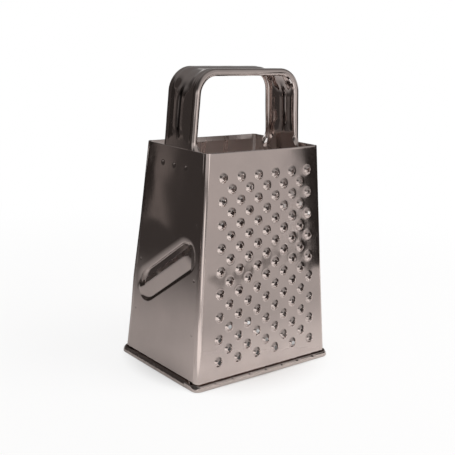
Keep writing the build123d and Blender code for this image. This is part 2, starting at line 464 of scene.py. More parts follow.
print(len(list(crown_places())), "crowns")

# %% Crown rings
crown_points = 24
crown_profile = [(4.3, 0.0), (3.7, 0.008), (3.3, 0.03), (3.05, 0.11), (2.85, 0.27), (2.6, 0.5),
                 (2.3, 0.78), (2.02, 1.04), (1.78, 1.24)]
crown_lean = 0.1
mouth_radius = 1.5
mouth_height = 1.42
mouth_margin = 1.1
torn_points = 4
tear_depth = 0.2
tear_lift = 0.22
tear_below = 0.14
tear_reach = 0.45
ragged = 0.05
crown_gap = 0.25 * grid_step


def add_crown(flat, u, z, chance):
    """Rings of one crown, from its flat skirt up to the torn mouth."""
    turn = chance.uniform(0, math.pi / 2)
    lean_to = chance.uniform(0, 2 * math.pi)
    lean_by = chance.uniform(0.0, crown_lean)
    angles = full_turn(crown_points)
    for radius, height in crown_profile:
        tear = math.exp(-((radius - mouth_radius) / tear_reach) ** 2)
        for angle in angles:
            lift = height * (1 + lean_by * math.cos(angle - lean_to))
            lift += tear_below * tear * math.cos(torn_points * (angle - turn))
            flat.add(*around(u, z, radius, angle), lift)

    def torn_radius(angle):
        return mouth_radius - tear_depth * math.cos(torn_points * (angle - turn))

    def in_mouth(x, y):
        return math.hypot(x - u, y - z) < mouth_margin * torn_radius(math.atan2(y - z, x - u))

    mouth = []
    for angle in angles:
        radius = torn_radius(angle) * chance.uniform(1 - ragged, 1 + ragged)
        lift = mouth_height + tear_lift * math.cos(torn_points * (angle - turn))
        lift += chance.uniform(-ragged, ragged)
        lift *= 1 + lean_by * math.cos(angle - lean_to)
        mouth.append((*around(u, z, radius, angle), lift))
    flat.add_loop(mouth, in_mouth)
    flat.keep_clear(u, z, crown_profile[0][0] + crown_gap)


print("crown", 2 * crown_profile[3][0], "mm across,", mouth_height, "mm high")

# %% Front wall
def make_front_wall():
    chance = random.Random(11)
    flat = FlatSheet("front", wrap_half, levels, grid_step)
    for u, z in crown_places():
        add_crown(flat, u, z, chance)
    return sheet_mesh("front_wall", *whole_wall(flat, add_corners), wall_gauge)


front_wall = make_front_wall()

# %% [markdown]
# ## Slicer
# The left wall is the slicing side. One long stadium is pressed into the sheet, like a shallow
# dish. Along its lower edge the step is short, above it turns in softly, and at the left it sinks
# slowly. Below the slot the dish floor rises again and ends in the blade, which stands a little
# proud of the wall. Above the slot the dish is deepest, so that a slice can pass under the edge.
# The height at any place is worked out from its distance to the outer edge and to the slot, and the
# points follow both outlines.

# %% Slicer outline
slicer_angle = math.radians(35.3)
slicer_length = 70.3
slicer_width = 23.8
slicer_height = 65.8
slicer_shift = -1.35
slot_length = 54.5
slot_width = 3.6
slot_rise = 1.45
slot_advance = 1.6
slicer_stadium = (slicer_length, slicer_width)
slot_stadium = (slot_length, slot_width)
slot_spacing = 0.8


def stadium_gap(a, b, length, width):
    """Distance from a stadium's outline, positive outside."""
    straight = length / 2 - width / 2
    return math.hypot(max(abs(a) - straight, 0.0), b) - width / 2


def stadium_outline(length, width, spacing):
    """Places along a stadium, evenly spaced."""
    straight = length - width
    half_turn = math.pi * width / 2
    total = 2 * straight + math.pi * width
    count = round(total / spacing)
    places = []
    for i in range(count):
        run = total * i / count
        if run < straight:
            places.append((run - straight / 2, -width / 2))
        elif run < straight + half_turn:
            turn = (run - straight) / (width / 2) - math.pi / 2
            places.append(around(straight / 2, 0.0, width / 2, turn))
        elif run < 2 * straight + half_turn:
            places.append((straight * 1.5 + half_turn - run, width / 2))
        else:
            turn = (run - 2 * straight) / (width / 2) - math.pi / 2
            places.append(around(-straight / 2, 0.0, width / 2, turn))
    return places


def slicer_place(a, b):
    """Across and height on the wall, from a along the slot and b across it."""
    across = slicer_shift + a * math.cos(slicer_angle) - b * math.sin(slicer_angle)
    return across, slicer_height + a * math.sin(slicer_angle) + b * math.cos(slicer_angle)


print("slot outline of", len(stadium_outline(*slot_stadium, slot_spacing)), "points")

# %% Slicer shape
# Pairs are (start, reach) of a ramp, along the slot or from the lower side (-1) to the upper (1).
bend_width = 4.1
bend_drop = 0.5
bend_side = (-0.1, 0.9)
right_bend_width = 1.9
right_bend_run = (16.0, 8.0)
right_bend_side = (-0.95, 0.5)
dish_depth = 1.6
dish_wall = 1.2
lower_dish_wall = 2.7
lower_wall_side = (-0.6, 1.0)
left_dish_wall = 6.0
left_wall_run = (18.0, 8.0)
left_wall_side = (-0.15, 0.5)
left_shelf_run = (-34.0, 9.0)
blade_rise = 2.4
blade_run = 10.2
blade_end = 6.0
blade_limit = 3.0
blade_overlap = 0.4
throat_depth = 1.7
throat_rise = 0.3
throat_top = 6.8
throat_run = 3.5
throat_edge = 2.6
shelf_edge = 7.0
blade_edge = slot_rise - slot_width / 2
slot_end = slot_length / 2 + slot_advance
least_bend = 0.01
least_core = 0.5


def bend_shape(a, facing_up, inside):
    """Width of the soft bend at the outline, and how far the sheet has sunk on it."""
    bend = bend_width * ramp(facing_up, *bend_side)
    right_share = ramp(a, *right_bend_run) * ramp(facing_up, *right_bend_side)
    bend = max(bend, right_bend_width * right_share, least_bend)
    return bend, -bend_drop * min(inside / bend, 1.0) ** 2 * min(bend / bend_width, 1.0)


def dish_floor(a, b):
    """Floor of the dish: up to the blade below the slot, and down to the throat above it."""
    rise = blade_rise * clamp((b - blade_edge + blade_run) / blade_run)
    rise *= 1 - ramp(a, slot_end - blade_end, 2 * blade_end)
    from_end = ramp(a, *left_shelf_run)
    above = ramp(b, blade_edge - blade_overlap, blend_values(shelf_edge, throat_edge, from_end))
    throat = throat_rise * clamp((throat_top - b) / throat_run) - throat_depth
    return blend_values(min(rise - dish_depth, blade_limit * from_end), throat * from_end, above)


def slicer_lift(a, b):
    """Height of the pressed sheet at a place in the slicer."""
    inside = -stadium_gap(a, b, *slicer_stadium)
    if inside <= 0:
        return 0.0
    facing_up = b / max(slicer_width / 2 - inside, least_core)
    bend, sunk = bend_shape(a, facing_up, inside)
    wall = blend_values(lower_dish_wall, dish_wall, ramp(facing_up, *lower_wall_side))
    left_share = ramp(-a, *left_wall_run) * ramp(facing_up, *left_wall_side)
    wall = blend_values(wall, left_dish_wall, left_share)
    return blend_values(sunk, dish_floor(a, b), smooth_step((inside - bend) / wall))


print("blade stands at", round(slicer_lift(0.0, blade_edge), 2), "mm")

# %% Slicer in the wall
dish_rings = [-4.0, -2.8, -1.8, -1.0, -0.4, 0.0, 0.2, 0.4, 0.6, 0.8, 1.0, 1.25, 1.6, 2.0, 2.4, 2.8,
              3.2, 3.6, 4.0, 4.3, 4.6, 4.9, 5.2, 5.6]
ring_spacing = 1.0
floor_spacing = 0.9
floor_columns = 40
floor_rows = 14
floor_margin = 0.4
slot_clear = 0.35
weld_rings = (1.7, 1.3)
weld_margin = 0.3
slicer_gap = 0.3 * grid_step


def dish_spots():
    """Rings that follow the outline, and a grid on the floor inside the last of them."""
    for offset in dish_rings:
        yield from stadium_outline(slicer_length - 2 * offset, slicer_width - 2 * offset,
                                   ring_spacing)
    for i in range(-floor_columns, floor_columns + 1):
        for j in range(-floor_rows, floor_rows + 1):
            a = i * floor_spacing
            b = j * floor_spacing
            if -stadium_gap(a, b, *slicer_stadium) > dish_rings[-1] + floor_margin:
                yield a, b


def in_slicer(u, z):
    du = u - slicer_shift
    dz = z - slicer_height
    a = du * math.cos(slicer_angle) + dz * math.sin(slicer_angle)
    b = dz * math.cos(slicer_angle) - du * math.sin(slicer_angle)
    return stadium_gap(a, b, *slicer_stadium) < slicer_gap - dish_rings[0]


def add_slicer(flat):
    slot = [(a + slot_advance, b + slot_rise)
            for a, b in stadium_outline(*slot_stadium, slot_spacing)]
    flat.add_loop([(*slicer_place(a, b), slicer_lift(a, b)) for a, b in slot], everywhere)
    for a, b in dish_spots():
        u, z = slicer_place(a, b)
        gap = stadium_gap(a - slot_advance, b - slot_rise, *slot_stadium)
        if gap > slot_clear and not any(math.hypot(u - x, z - y) < weld_rings[0] * r + weld_margin
                                        for x, y, r in flat.calm):
            flat.add(u, z, slicer_lift(a, b))
    flat.kept_clear.append(in_slicer)


print("dish drawn with", len(list(dish_spots())), "points")

# %% [markdown]
# ## Side walls and their weld holes
# Both side walls stop just short of the corner bends, and the gap between them is the fine seam
# line at each corner. Their edges turn in by a hair, as sheared and polished steel does, and the
# edge draws a thin bright line down the corner. The welds themselves are nuggets with their own
# places, so the sheet has a round hole where each one sits.

# %% Weld places
seam_weld_count = 4
seam_weld_radius = 1.5
seam_weld_low = 33.0
seam_weld_high = 10.0
handle_weld_count = 3
handle_weld_spacing = 12.0
handle_weld_radius = 2.2
handle_weld_drop = 11.0
hole_points = 24
hole_gap = 0.2 * grid_step


def weld_places():
    """Across, height and radius of every weld in a side wall."""
    span = body_height - seam_weld_high - seam_weld_low
    for i in range(seam_weld_count):
        z = seam_weld_low + span * i / (seam_weld_count - 1)
        across = half_depth(z) - corner_radius - seam_joggle - seam_flange / 2
        yield across, z, seam_weld_radius
        yield -across, z, seam_weld_radius
    first = -handle_weld_spacing * (handle_weld_count - 1) / 2
    for i in range(handle_weld_count):
        yield first + handle_weld_spacing * i, body_height - handle_weld_drop, handle_weld_radius


def add_weld_hole(flat, u, z, radius):
    """Round hole for a weld, in a flat ring of sheet."""
    for factor in weld_rings:
        flat.add_ring(u, z, factor * radius, hole_points)
    flat.add_loop([around(u, z, radius, angle) for angle in full_turn(hole_points)], everywhere)
    flat.calm.append((u, z, radius))
    flat.keep_clear(u, z, weld_rings[0] * radius + hole_gap)


print(len(list(weld_places())), "welds in a side wall")

# %% Side walls
edge_turn = 0.4
edge_steps = 3


def add_edges(points, faces, wall):
    """Rounded upright edges of a side wall."""
    for side in CORNERS:
        first = len(points)
        for z in levels:
            points.extend(on_wall(wall, side * (side_half(z) + edge_turn * math.sin(turn)), z,
                                  edge_turn * (math.cos(turn) - 1))
                          for turn in arc(edge_steps, 0.0, 0.5 * math.pi))
        strip = grid_faces(len(levels), edge_steps + 1, first)
        faces.extend(strip if side > 0 else flipped(strip))


def side_flat(wall):
    flat = FlatSheet(wall, side_half, levels, grid_step)
    for u, z, radius in weld_places():
        add_weld_hole(flat, u, z, radius)
    return flat


def make_left_wall():
    flat = side_flat("left")
    add_slicer(flat)
    return sheet_mesh("left_wall", *whole_wall(flat, add_edges), wall_gauge)


left_wall = make_left_wall()

# %% [markdown]
# ## Shredding hoods
# The other two walls shred. A half-round punch cuts a straight slot and pushes the sheet below it
# out into a hood, open at the top, so that food rubbed downwards runs into the edge. The flat sheet
# gets a half-round hole, and a half dome of rings fills it: the dome shares the round edge with the
# sheet and stands free along the cut. The back wall has coarse hoods and the right wall fine ones.

# %% Hood shapes
hood_top_margin = 22.0
hood_bottom_margin = 16.0
hood_edge_gap = 1.0
hood_turns = 16
hood_rings = 7
hood_skirt = (1.28, 1.12)
lip_dip = 0.3
lip_points = 8
lip_rings = (0.35, 0.7)


def hood_places(wall, rows, columns, edge):
    for row in range(rows):
        z = blend_values(body_height - hood_top_margin, hood_bottom_margin, row / (rows - 1))
        for u in staggered(wall_half(wall, z) - edge - hood_edge_gap, columns, row):
            yield u, z


def add_hood_hole(flat, u, z, radius):
    """Half-round hole with a flat skirt round it, and a lip that dips a little above the cut."""
    for factor in hood_skirt:
        flat.add_ring(u, z, factor * radius, 2 * hood_turns)
    loop = [around(u, z, radius, angle) for angle in arc(hood_turns, math.pi, math.pi)]
    for i in range(1, lip_points):
        x = radius * (1 - 2 * i / lip_points)
        loop.append((u + x, z, -lip_dip * (1 - (x / radius) ** 2)))
    flat.add_loop(loop, everywhere)
    for share in lip_rings:
        for angle in arc(hood_turns, 0.0, math.pi)[1:-1]:
            depth = -lip_dip * (1 - share) ** 2 * math.sin(angle)
            flat.add(*around(u, z, share * radius, angle), depth)
    flat.keep_clear(u, z, hood_skirt[0] * radius + hole_gap)


def add_hood(points, faces, flat, u, z, radius, height):
    """Half dome below the cut, from its round foot to the free edge."""
    ball = (radius ** 2 + height ** 2) / (2 * height)
    first = len(points)
    for ring in range(hood_rings + 1):
        r = radius * (1 - ring / hood_rings)
        lift = math.sqrt(ball ** 2 - r ** 2) - (ball - height)
        points.extend(flat.place(*around(u, z, r, angle), lift)
                      for angle in arc(hood_turns, math.pi, math.pi))
    faces.extend(grid_faces(hood_rings + 1, hood_turns + 1, first))


print("hood drawn with", (hood_rings + 1) * (hood_turns + 1), "points")

# %% Shredding walls
def make_shredder(name, flat, edge, add_sides, rows, columns, radius, height):
    places = list(hood_places(flat.wall, rows, columns, edge + radius))
    for u, z in places:
        add_hood_hole(flat, u, z, radius)
    points, faces = whole_wall(flat, add_sides)
    for u, z in places:
        add_hood(points, faces, flat, u, z, radius, height)
    return sheet_mesh(name, points, faces, wall_gauge)


back_wall = make_shredder("back_wall", FlatSheet("back", wrap_half, levels, grid_step),
                          corner_radius, add_corners, rows=9, columns=5, radius=4.6, height=2.4)
right_wall = make_shredder("right_wall", side_flat("right"),
                           corner_radius + seam_joggle + seam_flange, add_edges,
                           rows=13, columns=6, radius=2.7, height=1.5)

# %% [markdown]
# ## Handle
# The handle is one strap. Its long edges are rolled under into round beads, so that no sharp edge
# meets the hand, and a narrow valley between two soft ridges stiffens each leg. At the feet the
# rolls open out flat and the strap grows as wide as its blank, to be welded inside the walls. One
# grid does all of it: its rows follow the bent path, and its columns measure the flat blank, which
# is rolled up by an angle that falls to nothing at the feet.

# %% Handle path
handle_rise = 47.5
handle_bend_radius = 16.0
foot_depth = 22.0
path_inset = 2 * sheet
handle_top = body_height + handle_rise
foot_end = body_height - foot_depth
leg_slope = math.hypot(1.0, width_lean)
leg_tilt = math.atan(width_lean)
bend_angle = math.pi / 2 - leg_tilt
setback = handle_bend_radius * math.tan(bend_angle / 2)
leg_run = (handle_top - foot_end) * leg_slope - setback
bend_run = handle_bend_radius * bend_angle


def leg_x(z):
    return half_width(z) - path_inset


top_half = leg_x(handle_top) - setback
path_length = 2 * (leg_run + bend_run + top_half)


def path_row(distance):
    """Point and outward direction on the strap's outer face, by distance from the left foot."""
    if distance > path_length / 2:
        place, out = path_row(path_length - distance)
        return Vector((-place.x, 0, place.z)), Vector((-out.x, 0, out.z))
    if distance <= leg_run:
        z = foot_end + distance / leg_slope
        return Vector((-leg_x(z), 0, z)), Vector((-1, 0, width_lean)).normalized()
    if distance <= leg_run + bend_run:
        tilt = leg_tilt + (distance - leg_run) / handle_bend_radius
        out = Vector((-math.cos(tilt), 0, math.sin(tilt)))
        centre = Vector((-top_half, 0, handle_top - handle_bend_radius))
        return centre + handle_bend_radius * out, out
    return Vector((-top_half + distance - leg_run - bend_run, 0, handle_top)), Vector((0, 0, 1))


print("handle path", round(path_length, 1), "mm")

# %% Rolled edges
strap_width = 30.0
strap_sheet = 0.8
roll_radius = 2.25
foot_width = 40.0
foot_corner_radius = 4.0
roll_full_z = 147.0
roll_open_z = 134.5
least_roll = 0.02
flat_half = strap_width / 2 - roll_radius
blank_half = foot_width / 2
roll_length = blank_half - flat_half


def roll_angle(z):
    """How far the edges are rolled under: half a turn on the grip, flat at the feet."""
    return math.pi * ramp(z, roll_open_z, roll_full_z - roll_open_z)


def blank_place(across, angle):
    """Place of a blank column in the strap's cross section: sideways, and outwards (negative)."""
    side = math.copysign(1.0, across)
    run = abs(across) - flat_half
    if run <= 0 or angle < least_roll:
        return across, 0.0
    radius = roll_length / angle
    turn = run / radius
    return side * (flat_half + radius * math.sin(turn)), radius * (math.cos(turn) - 1)


def foot_trim(distance):
    """Half width of the blank near the foot's end, where its corners are rounded."""
    if distance >= foot_corner_radius:
        return blank_half
    drop = foot_corner_radius - distance
    return blank_half - foot_corner_radius + math.sqrt(foot_corner_radius ** 2 - drop ** 2)


print("each edge rolls up", round(roll_length, 2), "mm of strap")

# %% Ridges and hollow
ridge_rise = 1.1
ridge_low_z = 147.0
ridge_run = 33.0
ridge_fade = 8.0
ridge_side = (5.0, 6.0)
valley_width = 1.0
bead_valley = 0.45
bead_place = 10.9
bead_width = 1.5
grip_start = (body_height + 3, 8)
hollow_depth = 1.2
hollow_start = (ridge_run - 12.0, 14.0)
hollow_side = (3.0, 8.0)
ridge_start = (ridge_low_z - foot_end) * leg_slope


def ridge_lift(across, distance, z):
    """Two soft ridges on each leg with a narrow valley between, and a hollow over the top."""
    run = min(distance, path_length - distance) - ridge_start
    along = smooth_step(run / ridge_fade) * smooth_step((ridge_run - run) / ridge_fade)
    sideways = abs(across)
    ridge = (1 - math.exp(-(sideways / valley_width) ** 2)) * (1 - ramp(sideways, *ridge_side))
    beside_bead = math.exp(-((sideways - bead_place) / bead_width) ** 2) * ramp(z, *grip_start)
    hollow = ramp(run, *hollow_start) * (1 - ramp(sideways, *hollow_side))
    return ridge_rise * ridge * along - bead_valley * beside_bead - hollow_depth * hollow


print("ridges start", round(ridge_start, 1), "mm along the strap")

# %% Handle sheet
path_steps = 190
flat_steps = 50
roll_steps = 12
foot_steps = 16
strap_sink = 0.12
dent_count = 4
dent_rise = 12.0


def handle_rows():
    """Distances along the strap, with more rows at the rounded ends of the feet."""
    rounding = [foot_corner_radius * (1 - math.cos(i * math.pi / foot_steps))
                for i in range(1, foot_steps // 2)]
    return sorted({path_length * i / path_steps for i in range(path_steps + 1)}
                  | set(rounding) | {path_length - d for d in rounding})


def handle_columns():
    flat = [blend_values(-flat_half, flat_half, i / flat_steps) for i in range(flat_steps + 1)]
    roll = [flat_half + roll_length * i / roll_steps for i in range(1, roll_steps + 1)]
    return [-r for r in reversed(roll)] + flat + roll


def make_handle():
    chance = random.Random(4)
    rows = handle_rows()
    columns = handle_columns()
    waves = [(chance.uniform(0.1, 0.4), chance.uniform(0, 6.28), chance.uniform(0.01, 0.03))
             for _ in range(dent_count)]
    points = []
    for distance in rows:
        place, out = path_row(distance)
        angle = roll_angle(place.z)
        trim = foot_trim(min(distance, path_length - distance)) / blank_half
        dent = sum(h * math.sin(f * distance + p) for f, p, h in waves)
        dent *= ramp(place.z, body_height, dent_rise)
        for across in columns:
            sideways, lift = blank_place(across * trim, angle)
            lift += ridge_lift(across, distance, place.z) + dent - strap_sink
            points.append(place + Vector((0, sideways, 0)) + out * lift)
    faces = flipped(grid_faces(len(rows), len(columns)))
    return sheet_mesh("handle", points, faces, strap_sheet, strap_sharp_angle)


handle = make_handle()

# %% [markdown]
# ## Base rim
# A narrow strip is folded round the lower edge and rolled into a bead, which stiffens the mouth of
# the grater and covers its cut edge. On the front and back the strip is crimped against the wall at
# even steps, so its lip stands off a little between the crimps. On the sides it is rounder and
# nearly plain. Its ends meet near the front left corner, and the short piece there is puckered from
# being pulled round.

# %% Rim path
rim_reach = 2.07
rim_gauge = 0.4
rim_joint_offset = 10.0
rim_joint_gap = 0.4
rim_step = 0.9
rim_corner_steps = 10


def rim_path():
    """Places and directions along the foot of the walls, one turn from the joint to the joint."""
    x = half_width(0) - corner_radius
    y = half_depth(0) - corner_radius
    corners = [(-x, -y, math.pi), (x, -y, 1.5 * math.pi), (x, y, 0.0), (-x, y, 0.5 * math.pi)]
    joint = -(half_depth(0) - rim_joint_offset)
    joint_end = Vector((-x - corner_radius, joint + rim_joint_gap / 2))
    run = []

    def line(start, end, out):
        steps = max(2, round((end - start).length / rim_step))
        run.extend((start.lerp(end, i / steps), out, 0.0) for i in range(steps))

    line(Vector((-x - corner_radius, joint - rim_joint_gap / 2)), Vector((-x - corner_radius, -y)),
         Vector((-1, 0)))
    for index, (cx, cy, first) in enumerate(corners):
        for i in range(rim_corner_steps):
            turn = first + 0.5 * math.pi * i / rim_corner_steps
            out = Vector((math.cos(turn), math.sin(turn)))
            bend = math.sin(math.pi * i / rim_corner_steps)
            run.append((Vector((cx, cy)) + corner_radius * out, out, bend))
        turn = first + 0.5 * math.pi
        out = Vector((round(math.cos(turn)), round(math.sin(turn))))
        end = joint_end
        if index < 3:
            end = Vector(corners[index + 1][:2]) + corner_radius * out
        line(Vector((cx, cy)) + corner_radius * out, end, out)
    run.append((joint_end, Vector((-1, 0)), 0.0))
    return run


print("rim path of", len(rim_path()), "places")

# %% Rim strip
crimp_step = 13.5
crimp_width = 1.7
crimp_pull = 0.5
crimp_shift = 0.35
crimp_rise = (1.9, 1.8)
side_crimp = 0.15
side_start = 0.2
side_sharpness = 1.4
corner_wrinkle = 0.1
corner_waves = 4.5
wrinkle_height = 2.5
pucker = 0.15
pucker_waves = 2.4
pucker_run = 6.5
pucker_fade = 2.0
uneven = 0.015
rim_gap = 0.1
INNER_STRIP = [(0.0, rim_height - 0.4), (0.0, 2.2), (0.1, 0.7), (0.5, 0.22), (1.1, 0.05)]
FRONT_STRIP = [(0.4, 0.02), (1.0, 0.02), (1.5, 0.14), (1.85, 0.45), (2.04, 0.95), (2.08, 1.6),
               (2.07, 2.25), (1.98, 2.8), (1.8, 3.3), (1.52, 3.68), (1.25, 3.86), (1.05, 3.86),
               (0.93, 3.72), (0.93, 3.2)]
SIDE_STRIP = [(0.4, 0.02), (1.15, 0.02), (1.65, 0.1), (1.95, 0.36), (2.07, 0.75), (2.06, 1.2),
              (1.99, 1.65), (1.86, 2.1), (1.67, 2.6), (1.44, 3.1), (1.2, 3.6), (0.98, 4.05),
              (0.82, 4.2), (0.76, 3.7)]


def rim_section(crimp, wrinkle, side_share):
    """The strip's cross section: distance out from the wall's foot, and height."""
    inner = -sheet - rim_gap - math.hypot(width_lean, depth_lean) * rim_height
    section = [(inner + out, z) for out, z in INNER_STRIP]
    crimp *= crimp_pull * blend_values(1.0, side_crimp, side_share)
    for (front_out, front_z), (side_out, side_z) in zip(FRONT_STRIP, SIDE_STRIP):
        z = blend_values(front_z, side_z, side_share)
        out = blend_values(front_out, side_out, side_share)
        out -= crimp * ramp(z, *crimp_rise) + wrinkle * z / wrinkle_height
        section.append((min(out, rim_reach), z))
    return section


def make_rim():
    chance = random.Random(9)
    run = rim_path()
    points = []
    travelled = 0.0
    last = run[0][0]
    for place, out, bend in run:
        travelled += (place - last).length
        last = place
        phase = (travelled / crimp_step + crimp_shift) % 1.0
        crimp = math.exp(-((min(phase, 1 - phase) * crimp_step / crimp_width * 2) ** 2))
        near_joint = 1 - ramp(travelled, pucker_run, pucker_fade)
        wrinkle = corner_wrinkle * bend * (1 + math.sin(travelled * corner_waves))
        wrinkle += chance.uniform(0, uneven)
        wrinkle -= pucker * near_joint * (1 + math.sin(travelled * pucker_waves))
        side_share = smooth_step(abs(out.x) * side_sharpness - side_start) * (1 - near_joint)
        points.extend(Vector((*(place + out * distance), z))
                      for distance, z in rim_section(crimp, wrinkle, side_share))
    faces = flipped(grid_faces(len(run), len(INNER_STRIP) + len(FRONT_STRIP)))
    return sheet_mesh("rolled_rim", points, faces, rim_gauge, rolled_sharp_angle)


rolled_rim = make_rim()

# %% [markdown]
# ## Spot welds
# A spot weld is made by two copper tips that squeeze the sheets and pass a current. It leaves a
# small round dish on the outside and a flat disc inside, with no filler. Each weld is a turned
# profile: a dished outer face, a straight side hidden in the sheets, and a flat inner face.

# %% Weld profile
seam_weld_dent = 0.06
handle_weld_dent = 0.4
weld_edge = 0.03
WELD_DISH = [(0.1, 1.0), (0.25, 0.96), (0.4, 0.7), (0.52, 0.28), (0.64, 0.06), (0.8, 0.0)]


def weld_profile(radius, dent, depth):
    """Radius and height from the middle of the dish to the inner face."""
    dish = [(radius * share, -dent * sink) for share, sink in WELD_DISH]
    return dish + [(radius, 0.0), (radius, -depth), (radius * 0.9, -depth - weld_edge),
                   (radius * 0.3, -depth - weld_edge)]


def handle_weld_places(wall):
    for u, z, radius in weld_places():
        if radius == handle_weld_radius:
            yield wall, u, z, radius, handle_weld_dent, path_inset + strap_sheet


def seam_weld_places(wall, toward):
    for u, z, radius in weld_places():
        if radius == seam_weld_radius and u * toward > 0:
            yield wall, u, z, radius, seam_weld_dent, 2 * sheet


print("weld profile of", len(weld_profile(1.0, 0.1, 1.0)), "places")

# %% Weld nuggets
weld_turns = 24


def turned_mesh(name, places):
    """Closed turned welds, one at each place on a wall."""
    bm = bmesh.new()
    for wall, u, z, radius, dent, depth in places:
        rings = [[bm.verts.new(on_wall(wall, *around(u, z, r, angle), height) * MM)
                  for angle in full_turn(weld_turns)]
                 for r, height in weld_profile(radius, dent, depth)]
        for inner, outer in zip(rings, rings[1:]):
            for i in range(weld_turns):
                j = (i + 1) % weld_turns
                bm.faces.new((inner[i], outer[i], outer[j], inner[j]))
        bm.faces.new(rings[0])
        bm.faces.new(rings[-1][::-1])
    mesh = bpy.data.meshes.new(name)
    bm.to_mesh(mesh)
    bm.free()
    shade(mesh, rolled_sharp_angle)
    print(name, len(mesh.polygons), "faces")
    return put_in_scene(name, mesh)


left_welds = turned_mesh("left_foot_welds", handle_weld_places("left"))
right_welds = turned_mesh("right_foot_welds", handle_weld_places("right"))
front_left_welds = turned_mesh("front_left_welds", seam_weld_places("left", 1))
back_left_welds = turned_mesh("back_left_welds", seam_weld_places("left", -1))
front_right_welds = turned_mesh("front_right_welds", seam_weld_places("right", -1))
back_right_welds = turned_mesh("back_right_welds", seam_weld_places("right", 1))

# %% [markdown]
# ## Polished steel
# Polished stainless steel has hardly any colour of its own: it shows the room. What makes it read
# as a real pressed sheet is small and uneven. There are fine lines from rolling and polishing,
# smudges that dull the shine in places, a faint warm tint, and a little wear where the sheet is
# bent. All of it comes from noise in the object's own coordinates, so it stays put from every side.
# A small bench of helpers adds and wires the nodes, so that each finish below reads as a short
# recipe.

# %% Node bench
class Bench:
    """The nodes of one material or world; each call adds a node, wires it and gives its output."""

    def __init__(self, owner):
        owner.use_nodes = True
        self.nodes = owner.node_tree.nodes
        self.links = owner.node_tree.links

    def feed(self, slot, value):
        """Wire an output into a slot, or set the slot to a plain number or colour."""
        if isinstance(value, bpy.types.NodeSocket):
            self.links.new(value, slot)
        else:
            slot.default_value = value

    def add(self, kind, *values, **settings):
        node = self.nodes.new("ShaderNode" + kind)
        for name, value in settings.items():
            setattr(node, name, value)
        slots = [slot for slot in node.inputs if slot.enabled]
        for slot, value in zip(slots, values):
            self.feed(slot, value)
        return node

    def place(self, kind):
        return self.add("TexCoord").outputs[kind]

    def math(self, operation, *values, clamped=False):
        return self.add("Math", *values, operation=operation, use_clamp=clamped).outputs[0]

    def contrast(self, value, low, high, dark=0.0, light=1.0, curve="LINEAR"):
        node = self.add("MapRange", value, low, high, dark, light, interpolation_type=curve)
        return node.outputs["Result"]

    def soft_contrast(self, value, low, high, dark=0.0, light=1.0):
        return self.contrast(value, low, high, dark, light, "SMOOTHSTEP")

    def mix(self, share, low, high, kind="FLOAT"):
        node = self.add("Mix", share, low, high, data_type=kind)
        return next(slot for slot in node.outputs if slot.enabled)

    def noise(self, stretch, scale, detail, roughness=0.55):
        mapping = self.add("Mapping", self.place("Object"))
        self.feed(mapping.inputs["Scale"], stretch)
        noise = self.add("TexNoise", mapping.outputs["Vector"])
        self.feed(noise.inputs["Scale"], scale)
        self.feed(noise.inputs["Detail"], detail)
        self.feed(noise.inputs["Roughness"], roughness)
        return noise.outputs["Fac"]


print("bench calls:", [call for call in vars(Bench) if not call.startswith("_")])

# %% Where the steel differs
inward_facing = (-0.004, -0.014)
handle_valley = (1.9, 147.5, 181.0)
valley_core = 0.4
valley_fades = (5, -6)


def inner_share(bench, across):
    """1 on the inner face of a wall, 0 on its outer face; across is the wall's own axis."""
    aligned = bench.add("VectorMath", bench.place("Object"), across, operation="MULTIPLY")
    facing = bench.add("VectorMath", bench.place("Normal"), aligned.outputs["Vector"],
                       operation="DOT_PRODUCT")
    return bench.contrast(facing.outputs["Value"], *inward_facing)


def valley_shade_share(bench, half_width_mm, low_mm, high_mm):
    """1 in the narrow valley along the middle of each leg, where the steel's colour is painted dark
    as shade.
    """
    _, y, z = bench.add("SeparateXYZ", bench.place("Object")).outputs
    sideways = bench.math("ABSOLUTE", y)
    share = bench.contrast(sideways, half_width_mm * MM, valley_core * half_width_mm * MM)
    for start, fade in zip((low_mm, high_mm), valley_fades):
        along = bench.contrast(z, start * MM, (start + fade) * MM)
        share = bench.math("MULTIPLY", share, along)
    return share


print("dark valley, half width and ends in mm:", handle_valley)

# %% Steel material
smudge_size = 42.0
patchy = (0.35, 0.7)
worn_edge = (0.52, 0.62)
grain_shine = 0.04
grain_strength = 0.2
streak_stretch = (210, 210, 14)
streak_shine = 0.22
inner_roughness = 0.45
# painted shade: near-black colour laid along the handle's valley, standing in for the shade in the
# groove
painted_valley_shade = (0.05, 0.042, 0.04, 1)


